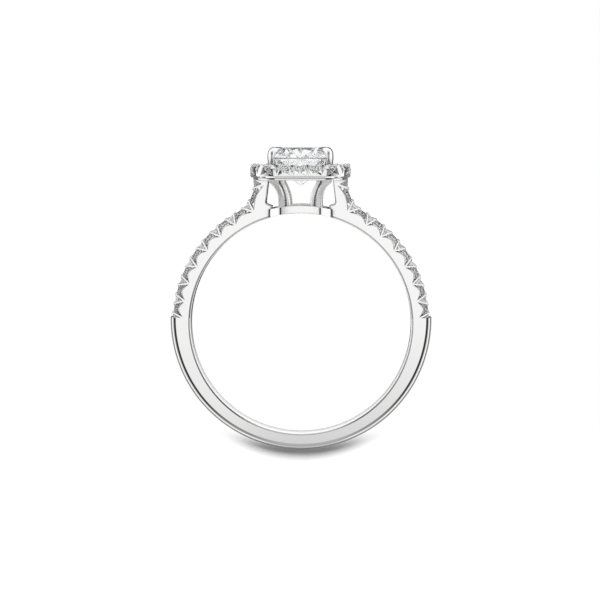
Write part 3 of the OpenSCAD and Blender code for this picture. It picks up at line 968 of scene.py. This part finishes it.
@dataclass
class Halo:
    """The halo frame: a rail with a fishtail wall on it, round the four sides of the head."""

    half: float = 3.15
    corner_r: float = 1.4
    base: float = 11.0
    per_side: int = 5
    stone_r: float = 0.525
    girdle: float = 0.91
    top: float = 1.16
    cup: float = 0.37
    cup_half: float = 0.07
    peak: float = 0.6
    pit_half: float = 0.26
    pit_foot: float = 0.03
    pit_depth: float = 0.2
    pit_in: float = 0.5
    v_foot: float = 0.48
    v_in: float = 0.36
    spread: float = 0.2875
    arm: float = 0.1
    outer: float = 0.66
    above: float = 0.1
    beyond: float = 1.2
    window_half: float = 1.0
    bead_r: float = 0.13
    bead_out: float = 0.49
    bead_rise: float = 0.06
    inner_bead_r: float = 0.12
    inner_bead_in: float = 0.46
    corner_steps: int = 16
    # The wall's section: each corner's distance out from the row, its height and its rounding.
    section: tuple[Three, ...] = (
        (-1.1, 0.0, 0.04), (0.42, 0.0, 0.07), (0.42, 0.165, 0.06), (0.36, 0.185, 0.01), (0.55, 0.2, 0.03),
        (0.635, 0.3, 0.08), (0.66, 0.85, 0.2), (0.51, 1.16, 0.04), (-0.6, 1.16, 0.05), (-0.6, 0.17, 0.03),
        (-1.1, 0.17, 0.04),
    )
    section_steps: int = 3

    def __post_init__(self) -> None:
        """Works out the row's straight stretch and pitch."""
        self.straight = self.half - self.corner_r
        self.pitch = (8 * self.straight + 2 * math.pi * self.corner_r) / (4 * self.per_side)

    def place(self, side: int, s: float, height: float = 0.0) -> Matrix:
        """Works out a place on the row.

        Args:
            side: Which side of the head.
            s: How far along the row from the side's middle.
            height: How far above the underside.

        Returns:
            The place, with X along the row, Y outwards and Z up.
        """
        past = max(abs(s) - self.straight, 0) / self.corner_r
        sign = math.copysign(1, s)
        x = sign * (min(abs(s), self.straight) + self.corner_r * math.sin(past))
        y = self.straight + self.corner_r * math.cos(past)
        to_head, to_side = Matrix.Rotation(-math.pi / 2, 4, "X"), Matrix.Rotation(side * math.pi / 2, 4, "Z")
        spot = Matrix.Translation((x, y, self.base + height)) @ Matrix.Rotation(-sign * past, 4, "Z")
        return to_head @ to_side @ spot

    def stations(self) -> list[Matrix]:
        """Works out where the section stands, once round the head.

        Returns:
            The places.
        """
        corner = self.corner_r * math.pi / 2
        row = steps(-self.straight, self.straight, 2)[:-1]
        row += [self.straight + corner * share for share in steps(0, 1, self.corner_steps)[:-1]]
        return [self.place(-quarter, s) for quarter in range(4) for s in row]

    def spots(self) -> list[tuple[int, float]]:
        """Gives the side and place along it of every stone."""
        reach = (self.per_side - 1) / 2
        return [(side, (i - reach) * self.pitch) for side in range(4) for i in range(self.per_side)]

    def cutters(self) -> dict[str, Form]:
        """Makes the cutters of the seats, the windows under the stones, and the V and the pit in each post.

        Returns:
            The cutters by name.
        """
        seats, windows, grooves, pits = Form(), Form(), Form(), Form()
        half, high, arm = self.pitch / 2, self.top + self.above, self.arm / 2
        foot, head, wide = half - self.cup_half, half - self.spread - arm, self.spread - arm / 2
        window = [(-foot, self.cup), (0, self.peak), (foot, self.cup), (head, high), (-head, high)]
        groove = [(0, self.v_foot), (-wide, self.top), (-wide, high), (wide, high), (wide, self.top)]
        low = self.top - self.pit_depth
        pit = [(-self.pit_foot, low), (-self.pit_half, high), (self.pit_half, high), (self.pit_foot, low)]
        for side, s in self.spots():
            here, post = self.place(side, s), self.place(side, s + half)
            StoneSeat().cutter(seats, self.stone_r, self.place(side, s, self.girdle), self.girdle)
            windows.prism(window, here, (-self.window_half, self.window_half), Mark.RECESS)
            # The V grooves take the darker groove finish of painted shade.
            grooves.prism(groove, post, (self.outer - self.v_in, self.beyond), Mark.GROOVE)
            # The pits take the near-black finish of painted shade.
            pits.prism(pit, post, (self.outer - self.pit_in, self.beyond), Mark.PIT)
        return {"halo_seats": seats, "halo_windows": windows, "halo_grooves": grooves, "halo_pits": pits}

    def beads(self) -> Form:
        """Makes the beads on the halo's posts.

        Returns:
            Their form.
        """
        form = Form()
        across = self.pitch / 2 - self.spread
        for side, s in self.spots():
            for way in (-1, 1):
                spot = (way * across, self.bead_out, self.bead_rise - self.bead_r)
                form.bead(spot, self.bead_r, self.place(side, s, self.top))
            between = self.place(side, s + self.pitch / 2, self.top)
            form.bead((0, -self.inner_bead_in, -self.inner_bead_r), self.inner_bead_r, between)
        return form

    def build(self, shop: Workshop) -> None:
        """Builds and dresses the halo frame.

        Args:
            shop: The workshop.
        """
        form = Form()
        section = [Vector((0, out, height)) for out, height in rounded(self.section, self.section_steps)]
        form.shell([[place @ point for point in section] for place in self.stations()], looped=True)
        body = shop.raw("halo_frame", form)
        shop.carve(body, self.cutters())
        shop.join(body, shop.raw("halo_beads", self.beads()))
        shop.finish(body)


@dataclass
class Claw:
    """One claw on a corner of the centre stone, lofted between its inner and outer lines."""

    name: str
    corner: int
    axis_r: float = 3.02
    half: float = 0.29
    top: float = 13.495
    shoulder: float = 0.5
    girdle: float = 12.65
    stone_corner: float = 2.98
    gap: float = 0.03
    tip_r: float = 2.08
    tip_half: float = 0.17
    crown_lift: float = 0.08
    crown_slope: float = 0.77 / 1.19
    # Stations of the shaft: how far the inner line steps out, its height and the outer line's.
    shaft: tuple[Three, ...] = ((0.0, 11.0, 11.0), (0.0, 11.6, 11.6), (0.0, 12.1, 12.15), (0.06, 12.4, 12.4))
    # Stations of the notch: the heights of the inner and the outer line over the girdle.
    notch: tuple[Flat, ...] = ((-0.07, -0.05), (0.07, 0.1))
    bend_steps: int = 8
    thin_rate: float = 1.3
    thin_from: float = 0.35
    # Stations of the tip: shares of the inner and the outer line, drop of the outer line, and thinning.
    tip: tuple[tuple[float, ...], ...] = (
        (0.8, 0.35, 0.0, 0.8), (0.9, 0.7, 0.005, 1.0), (0.97, 0.92, 0.03, 1.25), (1.0, 1.0, 0.08, 1.6),
    )
    tip_overlap: float = 0.02
    ring_points: int = 28
    squareness: float = 0.82
    sharp: float = 50.0

    def station(self, share: float, outer: Flat, thinning: float) -> tuple[Flat, Flat, float]:
        """Works out a station of the part that bends over the stone's crown.

        Args:
            share: How far along the inner line, from 0 to 1.
            outer: The outer point.
            thinning: How far the half width has gone to the tip's, from 0 to 1 or a little past it.

        Returns:
            The inner point, outer point and half width.
        """
        reach = (self.stone_corner + self.gap - self.tip_r) * share
        inner_r = self.stone_corner + self.gap - reach
        height = self.girdle + self.crown_lift + reach * self.crown_slope
        return (inner_r, height), outer, self.half - (self.half - self.tip_half) * thinning

    def lines(self) -> list[tuple[Flat, Flat, float]]:
        """Works out the claw's stations, in the diagonal plane.

        Returns:
            The inner point, outer point and half width of each.
        """
        out, inner, notch = self.axis_r + self.half, self.axis_r - self.half, self.stone_corner + self.gap
        stations = [((inner + step, low), (out, high), self.half) for step, low, high in self.shaft]
        for low, high in self.notch:
            stations.append(((notch, self.girdle + low), (out, self.girdle + high), self.half))
        flank, arc = out - self.shoulder, steps(0, 90, self.bend_steps)
        for i, turn in enumerate(arc):
            x, y = polar(self.shoulder, turn)
            share = (i + 1) / (len(arc) + len(self.tip))
            thinning = max(share * self.thin_rate - self.thin_from, 0)
            stations.append(self.station(share, (flank + x, self.top - self.shoulder + y), thinning))
        for inner_share, outer_share, drop, thinning in self.tip:
            outer_r = flank - (flank - self.tip_r + self.tip_overlap) * outer_share
            stations.append(self.station(inner_share, (outer_r, self.top - drop), thinning))
        return stations

    def build(self, shop: Workshop) -> None:
        """Builds and dresses the claw.

        Args:
            shop: The workshop.
        """
        turn = Matrix.Rotation(math.radians(45 + 90 * self.corner), 4, "Y")
        rings = []
        for inner, outer, half in self.lines():
            middle = (Vector(inner) + Vector(outer)) / 2
            ring = []
            for i in range(self.ring_points):
                along, across = (
                    math.copysign(abs(c) ** self.squareness, c) for c in polar(1, 360 * i / self.ring_points)
                )
                spot = middle + (Vector(outer) - middle) * along
                ring.append(turn @ Vector((spot.x, spot.y, half * across)))
            rings.append(ring)
        form = Form()
        form.shell(rings, mark=Mark.CLAW)
        shop.finish(shop.raw(self.name, form), self.sharp)


@dataclass
class BaseRing:
    """The cushion-shaped ring under the head, whose edges follow the finger hole."""

    half: float = 2.42
    corner: float = 0.84
    bend: float = 0.2
    bulge: float = 0.08
    thick: float = 0.5
    low_r: float = 8.5
    high_r: float = 9.11
    edge: float = 0.06
    panel_steps: int = 16
    bend_steps: int = 6
    shade_beside: float = 0.75
    shade_ahead: float = 1.01
    least_step: float = 1e-4

    def stations(self) -> list[Vector]:
        """Works out the outer line, once round: four bulged panels and four narrow ones.

        Returns:
            Its points.
        """
        flat = self.half - self.corner
        slope = Vector((1, -1)).normalized() * self.bend
        quarter = [
            Vector((x, self.half + self.bulge * (1 - (x / flat) ** 2)))
            for x in steps(-flat + self.bend, flat - self.bend, self.panel_steps)
        ]
        for centre, into, out in (
            (Vector((flat, self.half)), Vector((-self.bend, 0)), slope),
            (Vector((self.half, flat)), -slope, Vector((0, -self.bend))),
        ):
            quarter.extend(centre + into * (1 - t) ** 2 + out * t ** 2 for t in steps(0, 1, self.bend_steps))
        result: list[Vector] = []
        for turn in range(4):
            spin = Matrix.Rotation(math.radians(-90 * turn), 2)
            for spot in (spin @ point for point in quarter):
                if not result or (spot - result[-1]).length > self.least_step:
                    result.append(spot)
        return result

    def build(self, shop: Workshop) -> None:
        """Builds and dresses the base ring, with near-black painted shade on the bends beside the shoulders.

        Args:
            shop: The workshop.
        """
        tall = self.high_r - self.low_r
        corners = ((0, 0), (0, tall), (self.thick, tall), (self.thick, 0))
        outline = rounded([(*corner, self.edge) for corner in corners])
        spots = self.stations()
        following = spots[1:] + spots[:1]
        rings = []
        for i, spot in enumerate(spots):
            along = (following[i] - spots[i - 1]).normalized()
            ring = []
            for inset, height in outline:
                flat = spot + Vector((along.y, -along.x)) * inset
                ring.append(Vector((flat.x, math.sqrt((self.low_r + height) ** 2 - flat.x ** 2), flat.y)))
            rings.append(ring)
        form = Form()
        form.shell(rings, looped=True, mark=Mark.CLAW)
        # Painted shade: the faces on the bends beside the shoulders take the near-black finish, and the rest
        # the claws' strong painted shade.
        beside = self.half - self.bend * self.shade_beside
        ahead = self.half - self.corner - self.bend * self.shade_ahead
        for i, ends in enumerate(zip(spots, following)):
            if all(abs(p.x) > beside and abs(p.y) > ahead for p in ends):
                form.marks[i * len(outline):(i + 1) * len(outline)] = [Mark.PIT] * len(outline)
        shop.finish(shop.raw("base_ring", form))


@dataclass
class Legs:
    """A ridged leg and a slimmer strut in each corner, between the base ring and the halo."""

    foot: float = 9.1
    rise: float = 1.72
    sunk: float = 8.85
    head: float = 11.05
    # Lines in U: where each one starts, how far it spreads, and the power that it spreads by.
    outer: Three = (1.65, 0.71, 3.3)
    inner: Three = (1.02, 0.48, 2.5)
    ridge: Three = (1.2, 0.55, 1.8)
    strut: Three = (0.72, 0.48, 2.0)
    strut_t: float = 0.34
    # Depths in W: the back, the outer corner, the ridge and the inner corner.
    leg_w: tuple[float, ...] = (1.95, 2.34, 2.37, 2.14)
    strut_w: tuple[float, ...] = (1.98, 2.2, 2.3, 2.16)
    edge: float = 0.035
    outer_edge: float = 0.12
    leg_steps: int = 4
    strut_steps: int = 3
    levels: int = 26

    def line(self, curve: Three, v: float) -> float:
        """Gives how far out a curve stands at a height."""
        share = min(max((v - self.foot) / self.rise, 0), 1)
        return curve[0] + curve[1] * share ** curve[2]

    def sections(self, v: float) -> tuple[list[Flat], list[Flat]]:
        """Works out the leg's and the strut's section.

        Args:
            v: The height.

        Returns:
            Both sections, in U and W.
        """
        low, high, top, near = (self.line(c, v) for c in (self.inner, self.outer, self.ridge, self.strut))
        far = near + self.strut_t
        back, corner, ridge, inner = self.leg_w
        leg = [(low, back), (high, back), (high, corner), (top, ridge), (low, inner)]
        edges = [self.edge, self.edge, self.outer_edge, self.edge, self.edge]
        back, corner, ridge, inner = self.strut_w
        strut = [(near, back), (far, back), (far, corner), ((near + far) / 2, ridge), (near, inner)]
        return (
            rounded([(*point, edge) for point, edge in zip(leg, edges)], self.leg_steps),
            rounded([(*point, self.edge) for point in strut], self.strut_steps),
        )

    def build(self, shop: Workshop) -> None:
        """Builds and dresses the four legs and struts.

        Args:
            shop: The workshop.
        """
        form = Form()
        levels = [(v, self.sections(v)) for v in steps(self.sunk, self.head, self.levels)]
        for across, face in ((-1, -1), (-1, 1), (1, -1), (1, 1)):
            for i in range(2):
                rings = [[Vector((across * u, v, face * w)) for u, w in pair[i]] for v, pair in levels]
                form.shell(rings, mark=Mark.SATIN)
        shop.finish(shop.raw("split_legs", form))


@dataclass
class Stones:
    """The cut stones, whose shapes are the frame's own."""

    nodes: dict[str, Object]

    def dress(self, finishes: Finishes) -> None:
        """Gives every stone its diamond finish.

        Args:
            finishes: The finishes.
        """
        for name, node in sorted(self.nodes.items()):
            if name != METAL_NODE:
                finish = finishes.centre if name == CENTRE_NODE else finishes.small
                node.material_slots[0].material = finish
        log.info("stones dressed: %d", len(self.nodes) - 1)


@dataclass
class Studio:
    """A pale floor, a soft surround and the camera."""

    pose: Pose
    camera_at: Three = (3.7, 13.6, 150.0)
    camera_to: Three = (-0.074, 1.767, 0.0)
    lens: float = 117.5
    sensor: float = 36.0
    nearest: float = 0.001
    lean: float = 6.0
    # Tones of the surround: degrees from the overhead light's middle, and the brightness of each quarter.
    tones: tuple[tuple[float, ...], ...] = (
        (0.0, 0.97, 0.97, 0.97, 0.97),
        (7.0, 0.96, 0.96, 0.96, 0.97),
        (9.5, 0.92, 0.9, 0.8, 0.95),
        (11.5, 0.72, 0.8, 0.58, 0.8),
        (14.5, 0.15, 0.3, 0.48, 0.4),
        (18.0, 0.03, 0.25, 0.45, 0.3),
        (36.0, 0.03, 0.25, 0.42, 0.45),
        (46.0, 0.5, 0.5, 0.42, 0.8),
        (60.0, 0.95, 0.9, 0.45, 0.97),
        (88.0, 1.0, 1.0, 0.7, 1.0),
    )
    # How far towards the viewer each further quarter starts and is full, as the cosine of its bearing.
    quarters: tuple[tuple[Quarter, float, float], ...] = (
        (Quarter.NEAR, 0.75, 0.93), (Quarter.FRONT, 0.93, 0.992), (Quarter.REAR, -0.75, -0.95),
    )
    # Pools of shadow and light painted on the floor, seen only in reflections: distance from the finger hole,
    # and brightness.
    painted_pools: tuple[Flat, ...] = (
        (0.0, 1.2), (7.6, 1.1), (8.0, 0.8), (8.35, 0.2), (9.6, 0.16), (13.0, 0.26), (17.0, 0.26),
        (20.0, 0.08), (29.0, 0.08), (34.0, 1.0), (40.0, 1.0),
    )
    floor_half: float = 2.0
    floor_thick: float = 0.01
    paper: float = 1.0
    # Painted light: the line in Y behind which the floor glows white to the camera.
    glow_from: float = -11.8
    glow_to: float = -10.2
    # Brightness seen through the stones: of the surround's cloudy cards, at both ends, and of the floor.
    through: Flat = (0.935, 1.32)
    card_scale: float = 1.9
    card_edges: Flat = (0.42, 0.5)
    through_floor: float = 0.85
    flood: float = 0.15
    key_strength: float = 3.3
    key_height: float = 65.0
    key_spread: float = 28.0
    bounces: int = 48
    stone_bounces: int = 32
    clamp: float = 4.0

    def build(self) -> None:
        """Builds the studio round the ring, with enough bounces for the stones."""
        self.floor()
        self.key_light()
        self.surround()
        self.camera()
        scene = bpy.context.scene
        scene.view_settings.view_transform = "Standard"
        scene.view_settings.look = "None"
        scene.cycles.max_bounces = self.bounces
        scene.cycles.transmission_bounces = self.stone_bounces
        scene.cycles.glossy_bounces = self.stone_bounces
        scene.cycles.sample_clamp_indirect = self.clamp

    def floor(self) -> None:
        """Lays a pale floor under the ring: to the camera it glows white behind a line, a painted light that
        hides the ring's shadow there, and reflections see painted pools of shadow and light.
        """
        half, form = self.floor_half, Form()
        square = ((-half, -half), (half, -half), (half, half), (-half, half))
        form.shell([[Vector((x, y, z)) for x, y in square] for z in (-self.floor_thick, 0)])
        mesh = bpy.data.meshes.new("floor")
        mesh.from_pydata(form.points, [], form.faces)
        mesh.materials.append(self.paint())
        floor = placed("floor", mesh)

    def paint(self) -> Material:
        """Makes the floor's paint.

        Returns:
            The material.
        """
        paint, graph, gloss = Graph.paint("pale_floor")
        graph.tree.nodes.remove(gloss)
        place = graph.add("TexCoord").outputs["Object"]
        hole, reach = (0.0, self.pose.mount["pos_m"][1], 0.0), self.painted_pools[-1][0]
        far = graph.add("VectorMath", {0: place, 1: hole}, operation="DISTANCE").outputs["Value"]
        stops = [(radius / reach, level) for radius, level in self.painted_pools]
        # Painted shadow and light: reflections see the floor dark round the ring and bright inside the finger
        # hole and far off.
        mirror = graph.ramp(graph.math("DIVIDE", far, reach * MM), stops)
        ray, inside = graph.rays()
        level = graph.mix(inside, mirror, grey(self.through_floor))
        level = graph.mix(ray["Is Camera Ray"], level, grey(self.paper))
        lit = graph.add("BsdfDiffuse", {"Color": level}).outputs["BSDF"]
        # Painted light: to the camera the floor glows white behind glow_from, which paints out the ring's
        # shadow there.
        white = graph.add("Emission", {"Strength": 1.0}).outputs["Emission"]
        depth = graph.add("SeparateXYZ", {0: place}).outputs["Y"]
        glow = graph.spread(depth, self.glow_from * MM, self.glow_to * MM, kind="SMOOTHSTEP")
        share = graph.math("MULTIPLY", ray["Is Camera Ray"], glow)
        surface = graph.add("MixShader", {"Fac": share, 1: lit, 2: white}).outputs["Shader"]
        graph.feed(graph.tree.nodes["Material Output"].inputs["Surface"], surface)
        return paint

    def key_light(self) -> None:
        """Hangs a broad soft light on the head's side, so that the band's shade falls in front of it."""
        lamp = bpy.data.lights.new("key_light", "SUN")
        lamp.energy = self.key_strength
        lamp.angle = math.radians(self.key_spread)
        holder = placed("key_light", lamp)
        holder.rotation_euler = (math.radians(self.key_height - 90.0), 0.0, 0.0)
        holder.visible_glossy = False
        holder.visible_transmission = False

    def tone(self, graph: Graph, angle: Socket, quarter: Quarter) -> Socket:
        """Gives a quarter's brightness at an angle, as a share of a half turn, from the overhead light."""
        return graph.ramp(angle, [(row[0] / 180, row[quarter]) for row in self.tones])

    def surround(self) -> None:
        """Paints the surround: a soft light overhead, dark boards at mid height and a bright horizon.

        Polished metal shows all of it, the stones mostly its brightness, and the floor is lit evenly.
        """
        world = bpy.data.worlds.new("studio")
        bpy.context.scene.world = world
        world.use_nodes = True
        graph = Graph(world.node_tree)
        place = graph.add("TexCoord").outputs["Generated"]
        lean = (math.radians(-self.lean), 0.0, 0.0)
        leaned = graph.add("Mapping", {"Vector": place, "Rotation": lean}).outputs["Vector"]
        parts = graph.add("SeparateXYZ", {0: leaned}).outputs
        angle = graph.math("DIVIDE", graph.math("ARCCOSINE", parts["Z"]), math.pi)
        out = graph.math("SQRT", graph.math("SUBTRACT", 1.0, graph.math("POWER", parts["Z"], 2.0)))
        forward, least = graph.math("MULTIPLY", parts["Y"], -1.0), 1e-4
        facing = graph.math("DIVIDE", forward, graph.math("MAXIMUM", out, least))
        mirror = self.tone(graph, angle, Quarter.SIDE)
        for quarter, start, full in self.quarters:
            share = graph.spread(facing, start, full, kind="SMOOTHSTEP")
            mirror = graph.mix(share, mirror, self.tone(graph, angle, quarter))
        cards = graph.noise(place, self.card_scale, detail=0.0)
        through = graph.spread(cards, *self.card_edges, self.through, "SMOOTHSTEP")
        ray, inside = graph.rays()
        seen = graph.mix(inside, mirror, through)
        lit = graph.mix(ray["Is Diffuse Ray"], seen, grey(self.flood))
        graph.feed(graph.tree.nodes["Background"].inputs["Color"], lit)

    def camera(self) -> None:
        """Sets the camera at the photograph's angle to the ring."""
        to_frame = self.pose.matrix()
        lens = bpy.data.cameras.new("camera")
        lens.lens = self.lens
        lens.sensor_width = self.sensor
        lens.clip_start = self.nearest
        eye = placed("camera", lens)
        spot, aim = to_frame @ Vector(self.camera_at), to_frame @ Vector(self.camera_to)
        back = (spot - aim).normalized()
        right = self.pose.up().cross(back).normalized()
        turned = Matrix((right, back.cross(right), back)).transposed().to_4x4()
        eye.matrix_world = Matrix.Translation(spot) @ turned
        bpy.context.scene.camera = eye


def main() -> None:
    """Builds the ring and its studio in order."""
    logging.basicConfig(level=logging.INFO)
    mounts = {mount["name"]: mount for mount in frame["record"]["mounts"]}
    pose = Pose(mounts["finger_hole"])
    finishes = Finishes(pose.up())
    shop = Workshop(pose, finishes)
    claws = [Claw(f"claw_{corner + 1}", corner) for corner in range(4)]
    shoulders = [Shoulder("left_shoulder", -1), Shoulder("right_shoulder", 1)]
    for part in (Band(), *shoulders, Halo(), *claws, BaseRing(), Legs()):
        part.build(shop)
    Stones(frame["nodes"]).dress(finishes)
    Studio(pose).build()


if __name__ == "__main__":
    main()
